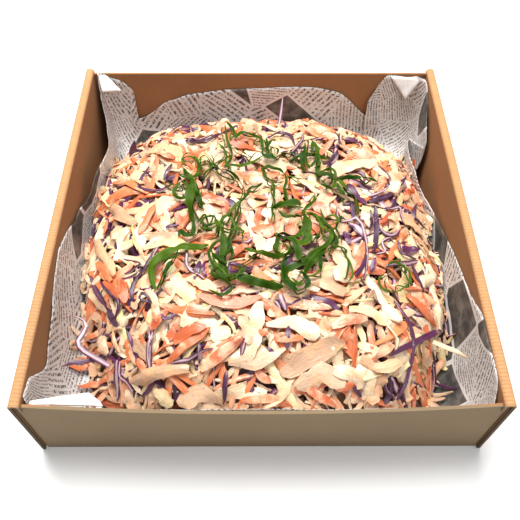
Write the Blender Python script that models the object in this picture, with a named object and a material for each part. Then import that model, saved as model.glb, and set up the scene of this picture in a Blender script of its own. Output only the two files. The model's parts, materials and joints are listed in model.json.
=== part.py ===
"""Coleslaw in a square kraft catering box, lined with a sheet of printed paper.

The box is one folded board: a floor, single end walls and double side walls whose board
rolls over the top. The paper lies on the floor, rises in waves along the walls and stands
up as ears at the corners. The coleslaw is one mound that fills the paper, and tufts and
curls of shredded spring onion lie on top of it.

Units are metres. +Z is up, +X runs along the front wall and +Y points to the back wall.
The origin is on the table, under the middle of the box.
"""

import math

import bmesh
import bpy
from mathutils import Vector, noise
from mathutils.bvhtree import BVHTree

MM = 0.001

# Driving dimensions: the board box
BOX_WIDTH = 225 * MM  # over the rolled side walls
BOX_DEPTH = 228 * MM  # length of a side wall, front to back
SIDE_HEIGHT = 58 * MM  # to the top of the roll
BACK_HEIGHT = 56 * MM
FRONT_HEIGHT = 54.5 * MM
BOARD = 1.6 * MM
ROLL_WIDTH = 5.2 * MM  # two boards and the gap between them
ROLL_RADIUS = 2.0 * MM
ROLL_LIP = 7 * MM  # how far the roll shows as a hook at each end of a side wall
END_INSET = 1.2 * MM  # the end walls sit back from the ends of the side walls
FRONT_BOW = 3.5 * MM  # the food presses the top of the front wall outwards
BOW_CURVE = 1.6  # above 1, the wall leans out more and more towards its top
BOW_COLUMNS = 20
BOW_ROWS = 5
FLAP_LENGTH = 46 * MM  # glue flaps of the end walls, inside the double side walls
FLAP_DROP = 9 * MM

# Driving dimensions: the paper, the mound and the garnish
GAP = 0.3 * MM  # between pieces that touch
PAPER = 0.6 * MM
PAPER_CORNER = 26 * MM  # plan radius of the paper's flat floor at the corners
FLOOR_INSET = 13 * MM  # from a wall to where the paper starts to rise
MOUND_HEIGHT = 50 * MM
MOUND_HALF = 112 * MM  # where the mound's height reaches zero
MOUND_HALF_FRONT = 121 * MM  # the same towards the front wall, which holds the food back
MOUND_SQUARENESS = 4.2
MOUND_SQUARENESS_BACK = 3.0  # rounder corners at the back
MOUND_FULLNESS = 5  # higher keeps the mound flat on top, and steeper at its edge
FRONT_FILL = 14 * MM  # extra height towards the front wall
FRONT_FILL_FROM = 0.45
CORNER_FALL = 60 * MM  # how steeply the front corners fall away, the left one more
CORNER_FALL_FROM = 1.16
CORNER_SHIFT = 0.1
COARSE_LUMP, COARSE_LUMP_SIZE = 3.0 * MM, 34 * MM
FINE_LUMP, FINE_LUMP_SIZE = 1.6 * MM, 13 * MM
MOUND_WALL_ROWS = 5
MOUND_RINGS = 9

SIDE_INNER = BOX_WIDTH / 2 - ROLL_WIDTH
END_FACE = BOX_DEPTH / 2 - END_INSET
END_INNER = END_FACE - BOARD
END_WIDTH = BOX_WIDTH - 3.5 * BOARD  # the end walls fit between the sides' outer boards
FLOOR_TOP = BOARD

KRAFT = (0.42, 0.25, 0.13, 1.0)
NEWSPRINT = (0.62, 0.57, 0.53, 1.0)
DRESSED_CABBAGE = (0.83, 0.70, 0.52, 1.0)
ONION_GREEN = (0.07, 0.20, 0.02, 1.0)

# Where the paper's middle surface lies flat against a wall, in millimetres.
PAPER_X = (SIDE_INNER - GAP - PAPER / 2) / MM
PAPER_Y = (END_INNER - GAP - PAPER / 2) / MM
LEFT, RIGHT, FRONT, BACK = -PAPER_X, PAPER_X, -PAPER_Y, PAPER_Y

# The paper's upper edge in millimetres, from the middle of the front wall clockwise as seen
# from above. It waves up and down the walls, stands clear of the side walls towards the
# back, and rises at the corners as ears.
PAPER_EDGE = [
    (-10, FRONT, 45), (-50, FRONT, 45), (-78, FRONT, 48), (-99, FRONT, 51),
    (LEFT, -106, 55), (LEFT, -98, 53), (LEFT, -91, 43), (LEFT, -83, 36), (LEFT, -71, 40),
    (LEFT, -57, 44), (LEFT, -41, 49), (LEFT, -25, 51), (LEFT, -11, 47), (-106, 3, 40),
    (-106, 16, 36), (-104, 28, 32), (-101, 40, 36), (-98, 54, 35), (-97, 68, 33),
    (-99, 82, 36), (-102, 95, 42), (-104, 104, 52), (-103, 109, 56), (-97, BACK, 54),
    (-91, BACK, 50), (-87, 109, 41), (-85, 107, 31), (-82, 108, 23), (-76, BACK, 23),
    (-69, BACK, 29), (-61, BACK, 34), (-50, BACK, 38), (-36, BACK, 41), (-12, BACK, 45),
    (12, BACK, 46), (34, BACK, 46), (48, BACK, 43), (60, BACK, 35), (69, BACK, 26),
    (75, 108, 27), (79, 109, 42), (84, BACK, 54), (96, BACK, 54), (104, 108, 56),
    (RIGHT, 94, 49), (RIGHT, 80, 44), (105.4, 71, 38), (101, 63, 30), (98, 54, 26),
    (100, 40, 25), (103, 26, 26), (105, 12, 28), (RIGHT, -5, 33), (RIGHT, -20, 38),
    (RIGHT, -38, 44), (RIGHT, -54, 50), (RIGHT, -69, 56), (RIGHT, -86, 57), (RIGHT, -99, 56),
    (RIGHT, -106, 51), (100, FRONT, 48), (86, FRONT, 46), (62, FRONT, 46), (30, FRONT, 45),
]
PAPER_SPLINE_STEPS = 2
PAPER_PROFILE_STEPS = 6

# Shredded spring onion: each piece lies along a curve through these points, (x, y) in
# millimetres. Tufts are tangles of thin curls, and the strip and the ring are single curls.
# After the points come the half width and the height in millimetres.
SPRING_ONION = {
    "spring_onion_tuft_left": ([(-33, -10), (-38, 2), (-42, 16), (-41, 30), (-34, 39)], 6, 3.4),
    "spring_onion_tuft_middle": ([(-24, -42), (-17, -30), (-15, -14), (-13, 2), (-2, 14)], 8, 3.8),
    "spring_onion_tuft_back": ([(-26, 60), (-16, 50), (0, 48), (14, 50), (26, 43)], 7, 3.4),
    "spring_onion_tuft_right": ([(22, 22), (32, 32), (44, 34), (52, 24), (56, 12)], 6, 3.4),
    "spring_onion_tuft_front": ([(6, -46), (20, -42), (27, -26), (24, -10), (20, 4)], 11, 4.2),
    "spring_onion_strip": ([(-35, -23), (-46, -25), (-54, -32), (-58, -42), (-54, -51)], 2.4, 2),
    "spring_onion_ring": ([(62, -38), (68, -33), (75, -36), (77, -44), (71, -50), (63, -48)], 1, 1.6),
}
CURL_SECTIONS = 14
CURL_ACROSS = 4
CURL_LIFT = 2.5 * GAP  # over the mound
CURL_END = 0.3  # share of the full size at a curl's ends
CURL_RIM = 0.25  # share of the full height along a curl's sides
TANGLE_FROM = 4 * MM  # wider pieces are tangles, with ragged sides and a lumpy top
RAGGED_SIDES, RAGGED_SIZE = 0.35, 7 * MM
LUMPY_TOP, LUMPY_SIZE = 0.6, 5 * MM


def clear_scene():
    for obj in list(bpy.data.objects):
        bpy.data.objects.remove(obj, do_unlink=True)


def material(name, colour, roughness):
    made = bpy.data.materials.new(name)
    made.use_nodes = True
    shader = made.node_tree.nodes["Principled BSDF"]
    shader.inputs["Base Color"].default_value = colour
    shader.inputs["Roughness"].default_value = roughness
    shader.inputs["Metallic"].default_value = 0.0
    made.diffuse_color = colour
    return made


def object_from(name, bm, finish=None):
    bmesh.ops.recalc_face_normals(bm, faces=bm.faces)
    mesh = bpy.data.meshes.new(name)
    bm.to_mesh(mesh)
    bm.free()
    made = bpy.data.objects.new(name, mesh)
    bpy.context.scene.collection.objects.link(made)
    if finish:
        mesh.materials.append(finish)
    return made


def helper(obj):
    """A guide or a cutter: it shapes a part and isn't one."""
    obj.hide_render = True
    obj.display_type = "WIRE"
    return obj


def add_boolean(obj, other, operation):
    modifier = obj.modifiers.new(f"{operation.lower()} {other.name}", "BOOLEAN")
    modifier.object = helper(other)
    modifier.operation = operation
    modifier.solver = "EXACT"


def block(name, low, high):
    bm = bmesh.new()
    bmesh.ops.create_cube(bm, size=1.0)
    low, high = Vector(low), Vector(high)
    bmesh.ops.scale(bm, vec=high - low, verts=bm.verts)
    bmesh.ops.translate(bm, vec=(low + high) / 2, verts=bm.verts)
    return object_from(name, bm)


# The box ---------------------------------------------------------------------------------


def arc(centre_x, centre_z, radius, start, end, steps=5):
    """Points on an arc in the XZ plane, angles in degrees from +X towards +Z."""
    angles = [math.radians(start + (end - start) * k / steps) for k in range(steps + 1)]
    return [(centre_x + radius * math.cos(a), centre_z + radius * math.sin(a)) for a in angles]


def side_wall(side):
    """The outer board and the roll over its top, as a hook-shaped profile run along Y."""
    outer, top = ROLL_RADIUS, SIDE_HEIGHT
    inner = max(ROLL_RADIUS - BOARD, 0.3 * MM)
    profile = [(0, 0)]
    profile += arc(outer, top - outer, outer, 180, 90)
    profile += arc(ROLL_WIDTH - outer, top - outer, outer, 90, 0)
    profile += [(ROLL_WIDTH, top - ROLL_LIP), (ROLL_WIDTH - BOARD, top - ROLL_LIP)]
    profile += arc(ROLL_WIDTH - BOARD - inner, top - BOARD - inner, inner, 0, 90, 2)
    profile += arc(BOARD + inner, top - BOARD - inner, inner, 90, 180, 2)
    profile += [(BOARD, 0)]
    bm = bmesh.new()
    ring = [
        bm.verts.new((-side * (x - BOX_WIDTH / 2), -BOX_DEPTH / 2, z)) for x, z in profile
    ]
    face = bm.faces.new(ring)
    run = bmesh.ops.extrude_face_region(bm, geom=[face])
    moved = [g for g in run["geom"] if isinstance(g, bmesh.types.BMVert)]
    bmesh.ops.translate(bm, vec=(0, BOX_DEPTH, 0), verts=moved)
    return object_from(f"side wall {side}", bm)


def inner_side_wall(side):
    """The board that comes down inside a side wall, between the end walls."""
    outside, inside = SIDE_INNER + BOARD, SIDE_INNER
    low_x, high_x = sorted((side * outside, side * inside))
    overlap = 1 * MM
    low = (low_x, -END_FACE + BOARD / 2, BOARD / 2)
    high = (high_x, END_FACE - BOARD / 2, SIDE_HEIGHT - ROLL_LIP + overlap)
    return block(f"inner side wall {side}", low, high)


def glue_flap(side, end):
    """An end wall's flap, which fills the gap in a double side wall near the corner."""
    bite = 0.2 * MM
    from_x = BOX_WIDTH / 2 - BOARD + bite
    to_x = SIDE_INNER + BOARD - bite
    low_x, high_x = sorted((side * from_x, side * to_x))
    low_y, high_y = sorted((end * (END_FACE - BOARD + bite), end * (END_FACE - FLAP_LENGTH)))
    low = (low_x, low_y, BOARD - bite)
    return block(f"glue flap {side} {end}", low, (high_x, high_y, SIDE_HEIGHT - FLAP_DROP))


def end_wall(end, height):
    """A single board across the front (end -1) or the back (end 1) of the box."""
    low_y, high_y = sorted((end * END_INNER, end * END_FACE))
    low, high = (-END_WIDTH / 2, low_y, 0), (END_WIDTH / 2, high_y, height)
    return block(f"end wall {end}", low, high)


def bowed_front_wall():
    """The front wall, cut into a grid whose points bulge outwards, most at its top's middle."""
    wall = end_wall(-1, FRONT_HEIGHT)
    bm = bmesh.new()
    bm.from_mesh(wall.data)
    cuts = [
        (Vector((END_WIDTH * (k / BOW_COLUMNS - 0.5), 0, 0)), Vector((1, 0, 0)))
        for k in range(1, BOW_COLUMNS)
    ]
    cuts += [
        (Vector((0, 0, FRONT_HEIGHT * k / BOW_ROWS)), Vector((0, 0, 1)))
        for k in range(1, BOW_ROWS)
    ]
    for place, normal in cuts:
        everything = bm.verts[:] + bm.edges[:] + bm.faces[:]
        bmesh.ops.bisect_plane(bm, geom=everything, plane_co=place, plane_no=normal)
    for vert in bm.verts:
        across = max(0.0, 1 - (2 * vert.co.x / END_WIDTH) ** 2)
        vert.co.y -= FRONT_BOW * across * (max(vert.co.z, 0.0) / FRONT_HEIGHT) ** BOW_CURVE
    bm.to_mesh(wall.data)
    bm.free()
    return wall


def build_box(finish):
    """All of the board as one solid, because the real box is one folded sheet."""
    half_width, half_depth = (BOX_WIDTH - BOARD) / 2, END_FACE - BOARD / 2
    tray = block("box", (-half_width, -half_depth, 0), (half_width, half_depth, BOARD))
    tray.data.materials.append(finish)
    boards = [bowed_front_wall(), end_wall(1, BACK_HEIGHT)]
    boards += [glue_flap(side, end) for side in (-1, 1) for end in (-1, 1)]
    boards += [inner_side_wall(side) for side in (-1, 1)]
    boards += [side_wall(side) for side in (-1, 1)]
    for board in boards:
        add_boolean(tray, board, "UNION")
    return tray


# The paper -------------------------------------------------------------------------------


def closed_spline(points, steps):
    """A smooth closed curve through the points, with this many steps between each two."""
    count = len(points)
    curve = []
    for k in range(count):
        a, b, c, d = (points[(k + j) % count] for j in (-1, 0, 1, 2))
        for step in range(steps):
            t = step / steps
            curve.append(
                0.5
                * (
                    2 * b
                    + (c - a) * t
                    + (2 * a - 5 * b + 4 * c - d) * t**2
                    + (3 * b - a - 3 * c + d) * t**3
                )
            )
    return curve


def floor_point(edge):
    """Where the paper below this point of its edge leaves the floor: a rounded rectangle."""
    half_x, half_y = PAPER_X * MM - FLOOR_INSET, PAPER_Y * MM - FLOOR_INSET
    x = min(max(edge.x, -half_x), half_x)
    y = min(max(edge.y, -half_y), half_y)
    if abs(edge.x) < half_x:
        y = math.copysign(half_y, edge.y)
    if abs(edge.y) < half_y and abs(edge.x) >= half_x:
        x = math.copysign(half_x, edge.x)
    centre_x = math.copysign(half_x - PAPER_CORNER, x)
    centre_y = math.copysign(half_y - PAPER_CORNER, y)
    if abs(x) > abs(centre_x) and abs(y) > abs(centre_y):
        direction = Vector((x - centre_x, y - centre_y, 0)).normalized()
        x = centre_x + PAPER_CORNER * direction.x
        y = centre_y + PAPER_CORNER * direction.y
    return Vector((x, y, FLOOR_TOP + GAP + PAPER / 2))


def paper_profile(edge, steps):
    """Points up the paper from its floor to its edge: a round bottom, then the wall."""
    foot = floor_point(edge)
    outward = Vector((edge.x - foot.x, edge.y - foot.y, 0))
    reach = foot + outward
    rise = edge.z - foot.z
    handles = (foot, foot + outward * 0.75, reach + Vector((0, 0, rise * 0.35)), edge)
    points = []
    for step in range(steps + 1):
        t = step / steps
        weights = ((1 - t) ** 3, 3 * t * (1 - t) ** 2, 3 * t * t * (1 - t), t**3)
        points.append(sum((h * w for h, w in zip(handles, weights)), Vector()))
    return points


def paper_surface(offset):
    """The sheet's surface as a mesh, moved inwards by offset from its middle."""
    edge_curve = closed_spline([Vector(p) * MM for p in PAPER_EDGE], PAPER_SPLINE_STEPS)
    for edge in edge_curve:
        edge.x = min(max(edge.x, LEFT * MM), RIGHT * MM)
        edge.y = min(max(edge.y, FRONT * MM), BACK * MM)
    columns = [paper_profile(edge, PAPER_PROFILE_STEPS) for edge in edge_curve]
    bm = bmesh.new()
    grid = [[bm.verts.new(point) for point in column] for column in columns]
    for here, there in zip(grid, grid[1:] + grid[:1]):
        for low, high in zip(range(PAPER_PROFILE_STEPS), range(1, PAPER_PROFILE_STEPS + 1)):
            bm.faces.new((here[low], here[high], there[high], there[low]))
    bm.faces.new([column[0] for column in reversed(grid)])
    bmesh.ops.recalc_face_normals(bm, faces=bm.faces)
    bm.normal_update()
    lowest = min(bm.faces, key=lambda f: f.calc_center_median().z)
    if lowest.normal.z < 0:
        bmesh.ops.reverse_faces(bm, faces=bm.faces)
        bm.normal_update()
    normals = {vert: vert.normal.copy() for vert in bm.verts}
    for vert in bm.verts:
        vert.co += normals[vert] * offset
    return bm


def build_paper(finish):
    """The sheet as a thin solid shell."""
    paper = object_from("paper_liner", paper_surface(0.0), finish)
    shell = paper.modifiers.new("thickness", "SOLIDIFY")
    shell.thickness = PAPER
    shell.offset = 0.0
    shell.use_even_offset = False
    return paper


# The coleslaw ----------------------------------------------------------------------------


def mound_height(x, y):
    """Height of the coleslaw over the table: a full, square mound with low front corners."""
    u, v = x / MOUND_HALF, y / (MOUND_HALF if y > 0 else MOUND_HALF_FRONT)
    square = MOUND_SQUARENESS_BACK if y > 0 else MOUND_SQUARENESS
    spread = (abs(u) ** square + abs(v) ** square) ** (1 / square)
    body = MOUND_HEIGHT * (1 - min(spread, 1.3) ** MOUND_FULLNESS)
    middle = 1 - min(1.0, abs(u - CORNER_SHIFT)) ** 2
    front = FRONT_FILL * max(0.0, -v - FRONT_FILL_FROM) * middle
    corner = CORNER_FALL * max(0.0, -v + abs(u - CORNER_SHIFT) - CORNER_FALL_FROM)
    coarse = noise.noise(Vector((x, y, 0)) / COARSE_LUMP_SIZE) * COARSE_LUMP
    fine = noise.noise(Vector((x, y, 0.3)) / FINE_LUMP_SIZE) * FINE_LUMP
    return max(body + front - corner + coarse + fine, -MOUND_HEIGHT)


def resting_column(column):
    """Points up one column of the paper, from its foot to where the mound's top meets it."""
    meeting = len(column) - 1.2
    for k, point in enumerate(column):
        if point.z > mound_height(point.x, point.y):
            below = column[k - 1]
            gap_above = point.z - mound_height(point.x, point.y)
            gap_below = below.z - mound_height(below.x, below.y)
            meeting = min(meeting, k - 1 + gap_below / (gap_below - gap_above))
            break
    points = []
    for row in range(MOUND_WALL_ROWS + 1):
        place = meeting * row / MOUND_WALL_ROWS
        k = min(int(place), len(column) - 2)
        points.append(column[k].lerp(column[k + 1], place - k))
    return points


def build_coleslaw(finish):
    """The heap of dressed shreds as one solid out to its uneven outline.

    Its lower side follows the paper, a gap away from it, and its upper side is the mound.
    """
    inside = paper_surface(PAPER / 2 + GAP)
    inside.verts.ensure_lookup_table()
    rows = PAPER_PROFILE_STEPS + 1
    columns = [
        resting_column([inside.verts[first + row].co.copy() for row in range(rows)])
        for first in range(0, len(inside.verts), rows)
    ]
    inside.free()
    for column in columns:
        rim = column[-1].copy()
        for ring in range(1, MOUND_RINGS):
            inward = 1 - (ring / MOUND_RINGS) ** 1.3
            x, y = rim.x * inward, rim.y * inward
            column.append(Vector((x, y, mound_height(x, y))))
    bm = bmesh.new()
    grid = [[bm.verts.new(point) for point in column] for column in columns]
    summit = bm.verts.new((0, 0, mound_height(0, 0)))
    for here, there in zip(grid, grid[1:] + grid[:1]):
        for low in range(len(here) - 1):
            bm.faces.new((here[low], there[low], there[low + 1], here[low + 1]))
        bm.faces.new((here[-1], there[-1], summit))
    bm.faces.new([column[0] for column in grid])
    return object_from("coleslaw", bm, finish)


def top_of(obj):
    """A function that gives the height of an object's upper surface at a point."""
    graph = bpy.context.evaluated_depsgraph_get()
    tree = BVHTree.FromObject(obj, graph)

    def height(x, y):
        hit = tree.ray_cast(Vector((x, y, 1.0)), Vector((0, 0, -1)))[0]
        return hit.z if hit else 0.0

    return height


# The spring onion ------------------------------------------------------------------------


def open_spline(points, sections):
    """Evenly spaced points on a smooth open curve through the points."""
    ends = [2 * points[0] - points[1], *points, 2 * points[-1] - points[-2]]
    fine = []
    for a, b, c, d in zip(ends, ends[1:], ends[2:], ends[3:]):
        for step in range(8):
            t = step / 8
            bend = (2 * a - 5 * b + 4 * c - d) * t**2 + (3 * b - a - 3 * c + d) * t**3
            fine.append(0.5 * (2 * b + (c - a) * t + bend))
    fine.append(points[-1])
    return [fine[round(k * (len(fine) - 1) / sections)] for k in range(sections + 1)]


def build_onion(name, points, half_width, tallest, height, finish):
    """A curl, or a tangle of curls as one uneven solid, that lies over the mound."""
    line = open_spline([Vector((x, y, 0)) * MM for x, y in points], CURL_SECTIONS)
    half_width, tallest = half_width * MM, tallest * MM
    tangled = 1.0 if half_width > TANGLE_FROM else 0.0
    bm = bmesh.new()
    sections = []
    for k, middle in enumerate(line):
        ahead = (line[min(k + 1, CURL_SECTIONS)] - line[max(k - 1, 0)]).normalized()
        sideways = Vector((-ahead.y, ahead.x, 0))
        taper = CURL_END + (1 - CURL_END) * math.sin(math.pi * k / CURL_SECTIONS) ** 0.5
        top, bottom = [], []
        for j in range(CURL_ACROSS + 1):
            across = 2 * j / CURL_ACROSS - 1
            side = middle + sideways * across
            wave = noise.noise(side / RAGGED_SIZE + Vector((across, 0, 0)))
            reach = half_width * taper * (1 + RAGGED_SIDES * tangled * wave)
            lump = noise.noise(side / LUMPY_SIZE + Vector((0, 0, across)))
            place = middle + sideways * across * reach
            low = height(place.x, place.y) + CURL_LIFT
            round_top = CURL_RIM + (1 - CURL_RIM) * math.sqrt(max(0, 1 - across**2))
            thick = tallest * taper * round_top * (1 + LUMPY_TOP * tangled * lump)
            top.append(bm.verts.new((place.x, place.y, low + thick)))
            bottom.append(bm.verts.new((place.x, place.y, low)))
        sections.append(top + bottom[::-1])
    for here, there in zip(sections, sections[1:]):
        for k in range(len(here)):
            after = (k + 1) % len(here)
            bm.faces.new((here[k], here[after], there[after], there[k]))
    bm.faces.new(sections[0])
    bm.faces.new(sections[-1][::-1])
    return object_from(name, bm, finish)


def main():
    clear_scene()
    build_box(material("kraft board", KRAFT, 0.85))
    build_paper(material("printed paper", NEWSPRINT, 0.6))
    mound = build_coleslaw(material("dressed shreds", DRESSED_CABBAGE, 0.4))
    height = top_of(mound)
    green = material("spring onion", ONION_GREEN, 0.35)
    for name, (points, half_width, tallest) in SPRING_ONION.items():
        build_onion(name, points, half_width, tallest, height, green)


main()
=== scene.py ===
"""Coleslaw heaped in a square kraft catering box that is lined with printed paper.

The box is the frame's own solid with a kraft board finish. The liner is one sheet, with its
corners gathered into ears and some tips folded over. The heap is a rough core under nearly
two thousand shreds of white cabbage, carrot and red cabbage. They are laid one by one on a
map of heights, which carries them, and curls of spring onion lie on top.

Lengths are in metres. Lists of places are in millimetres, and are scaled where they are
used. +Z is up, +X runs along the front wall and +Y points to the back wall.
"""

import json
import math

import bmesh
import bpy
import numpy as np
from mathutils import Matrix, Vector, noise
from mathutils.bvhtree import BVHTree

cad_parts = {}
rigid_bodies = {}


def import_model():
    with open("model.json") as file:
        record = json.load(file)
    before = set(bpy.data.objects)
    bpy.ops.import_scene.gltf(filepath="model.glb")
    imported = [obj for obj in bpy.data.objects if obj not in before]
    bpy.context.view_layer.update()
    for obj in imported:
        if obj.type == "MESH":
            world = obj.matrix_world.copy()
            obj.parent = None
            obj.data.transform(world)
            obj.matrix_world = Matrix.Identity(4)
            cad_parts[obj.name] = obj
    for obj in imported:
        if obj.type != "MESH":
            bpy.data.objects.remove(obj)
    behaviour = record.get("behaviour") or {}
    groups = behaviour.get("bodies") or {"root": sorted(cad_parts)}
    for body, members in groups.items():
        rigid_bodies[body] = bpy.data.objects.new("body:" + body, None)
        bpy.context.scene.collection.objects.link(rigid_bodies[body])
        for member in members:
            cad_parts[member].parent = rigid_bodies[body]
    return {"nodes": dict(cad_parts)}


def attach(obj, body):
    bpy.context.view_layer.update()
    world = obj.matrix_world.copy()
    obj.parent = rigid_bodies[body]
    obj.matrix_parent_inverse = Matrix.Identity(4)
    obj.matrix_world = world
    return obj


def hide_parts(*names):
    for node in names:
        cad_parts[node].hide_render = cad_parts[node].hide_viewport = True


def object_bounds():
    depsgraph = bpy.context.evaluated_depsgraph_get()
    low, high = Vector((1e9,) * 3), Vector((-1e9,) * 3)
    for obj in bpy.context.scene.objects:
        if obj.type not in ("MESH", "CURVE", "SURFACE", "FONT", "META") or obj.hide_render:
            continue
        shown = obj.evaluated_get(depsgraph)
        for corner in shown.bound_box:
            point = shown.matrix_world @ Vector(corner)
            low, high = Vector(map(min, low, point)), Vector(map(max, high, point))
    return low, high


MM = 0.001
for startup in list(bpy.data.objects):
    bpy.data.objects.remove(startup)
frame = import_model()
cad_low, cad_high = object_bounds()
rng = np.random.default_rng(41)


# Shader maths ----------------------------------------------------------------------------


def linear(red, green, blue):
    """A display colour, given from 0 to 255, as the linear colour that shaders use."""
    parts = (c / 255 for c in (red, green, blue))
    return (*(p / 12.92 if p <= 0.04045 else ((p + 0.055) / 1.055) ** 2.4 for p in parts), 1.0)


class Field:
    """A socket of a finish. Arithmetic on it adds Math nodes."""

    def __init__(self, finish, socket):
        self.finish, self.socket = finish, socket

    def math(self, operation, *values):
        return self.finish.node("ShaderNodeMath", {"operation": operation}, dict(enumerate(values)))

    def __add__(self, other):
        return self.math("ADD", self, other)

    def __mul__(self, other):
        return self.math("MULTIPLY", self, other)

    def __sub__(self, other):
        return self.math("SUBTRACT", self, other)

    def __rsub__(self, other):
        return self.math("SUBTRACT", other, self)

    def step(self, low, high):
        """0 below low and 1 above high, with a smooth rise between. High may be the lower."""
        inputs = {0: self, 1: low, 2: high}
        return self.finish.node("ShaderNodeMapRange", {"interpolation_type": "SMOOTHSTEP"}, inputs)

    def between(self, a, b):
        """A colour from a, where this field is 0, to b, where it is 1."""
        settings = {"data_type": "RGBA", "clamp_factor": True}
        return self.finish.node("ShaderNodeMix", settings, {0: self, 6: a, 7: b}, 2)


class Finish:
    """A material on a Principled shader, whose node() adds a node of any kind."""

    def __init__(self, name, constants):
        self.material = bpy.data.materials.new(name)
        self.material.use_nodes = True
        self.tree = self.material.node_tree
        self.shader = self.tree.nodes["Principled BSDF"]
        self.feed(self.shader, constants)

    def feed(self, node, inputs):
        for key, value in inputs.items():
            if isinstance(value, Field):
                self.tree.links.new(value.socket, node.inputs[key])
            else:
                node.inputs[key].default_value = value

    def node(self, kind, settings=None, inputs=None, output=0):
        """Add a node, set it up, feed its inputs, and give one of its outputs."""
        made = self.tree.nodes.new(kind)
        for name, value in (settings or {}).items():
            setattr(made, name, value)
        self.feed(made, inputs or {})
        return Field(self, made.outputs[output])

    def place(self):
        return self.node("ShaderNodeTexCoord", output="Object")

    def attribute(self, name, output="Color"):
        return self.node("ShaderNodeAttribute", {"attribute_name": name}, output=output)

    def parts(self, vector):
        split = self.node("ShaderNodeSeparateXYZ", inputs={0: vector}).socket.node
        return [Field(self, socket) for socket in split.outputs]

    def noise(self, vector, scale, detail=2.0, roughness=0.5, warp=0.0):
        inputs = {
            "Vector": vector, "Scale": scale, "Detail": detail, "Roughness": roughness,
            "Distortion": warp,
        }
        return self.node("ShaderNodeTexNoise", inputs=inputs)

    def stretch(self, vector, scale):
        return self.node("ShaderNodeMapping", inputs={"Vector": vector, "Scale": scale})

    def streaks(self, count, detail=2.0):
        """Noise drawn out along each laid shred, with about this many streaks across it."""
        tone, hue, across = self.parts(self.attribute("piece"))
        inputs = {0: across * count, 1: self.attribute("piece", "Alpha") * 2.5, 2: tone * 90 + hue}
        return self.noise(self.node("ShaderNodeCombineXYZ", inputs=inputs), 1.0, detail, 0.6)

    def surface(self, colour, roughness=None, bump=None, depth=0.0002):
        """Feed the shader's colour, and where given its roughness and a relief."""
        self.feed(self.shader, {"Base Color": colour})
        if roughness is not None:
            self.feed(self.shader, {"Roughness": roughness})
        if bump is not None:
            inputs = {"Height": bump, "Distance": depth, "Strength": 1.0}
            self.feed(self.shader, {"Normal": self.node("ShaderNodeBump", inputs=inputs)})
        return self.material


# Meshes ----------------------------------------------------------------------------------


def add_piece(name, bm, finish, smooth=True):
    """Turn a bmesh into a piece of the object, with its place in its mesh."""
    mesh = bpy.data.meshes.new(name)
    bm.to_mesh(mesh)
    bm.free()
    if smooth:
        mesh.shade_smooth()
    mesh.materials.append(finish)
    piece = bpy.data.objects.new(name, mesh)
    bpy.context.scene.collection.objects.link(piece)
    return piece


def merged_copy(node):
    """A frame node's mesh as a bmesh of joined triangles."""
    bm = bmesh.new()
    bm.from_mesh(bpy.data.objects[node].data)
    bmesh.ops.remove_doubles(bm, verts=bm.verts, dist=0.005 * MM)
    bmesh.ops.recalc_face_normals(bm, faces=bm.faces)
    return bm


def smooth_curve(points, steps, closed):
    """A curve through the points with this many steps between each two."""
    count = len(points)
    spans = count if closed else count - 1
    curve = []
    for k in range(spans):
        if closed:
            a, b, c, d = (points[(k + j) % count] for j in (-1, 0, 1, 2))
        else:
            b, c = points[k], points[k + 1]
            a = points[k - 1] if k else 2 * b - c
            d = points[k + 2] if k + 2 < count else 2 * c - b
        for step in range(steps):
            t = step / steps
            bend = (2 * a - 5 * b + 4 * c - d) * t**2 + (3 * b - a - 3 * c + d) * t**3
            curve.append(0.5 * (2 * b + (c - a) * t + bend))
    return curve if closed else [*curve, points[-1]]


# The box ---------------------------------------------------------------------------------


FLUTE = 1.9 * MM  # from one wave of the corrugated board to the next

# Each side wall is two boards thick, and the two end walls are single boards.
cad_inner_x = cad_high.x - 5.2 * MM
cad_inner_y = cad_high.y - 2.8 * MM


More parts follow.
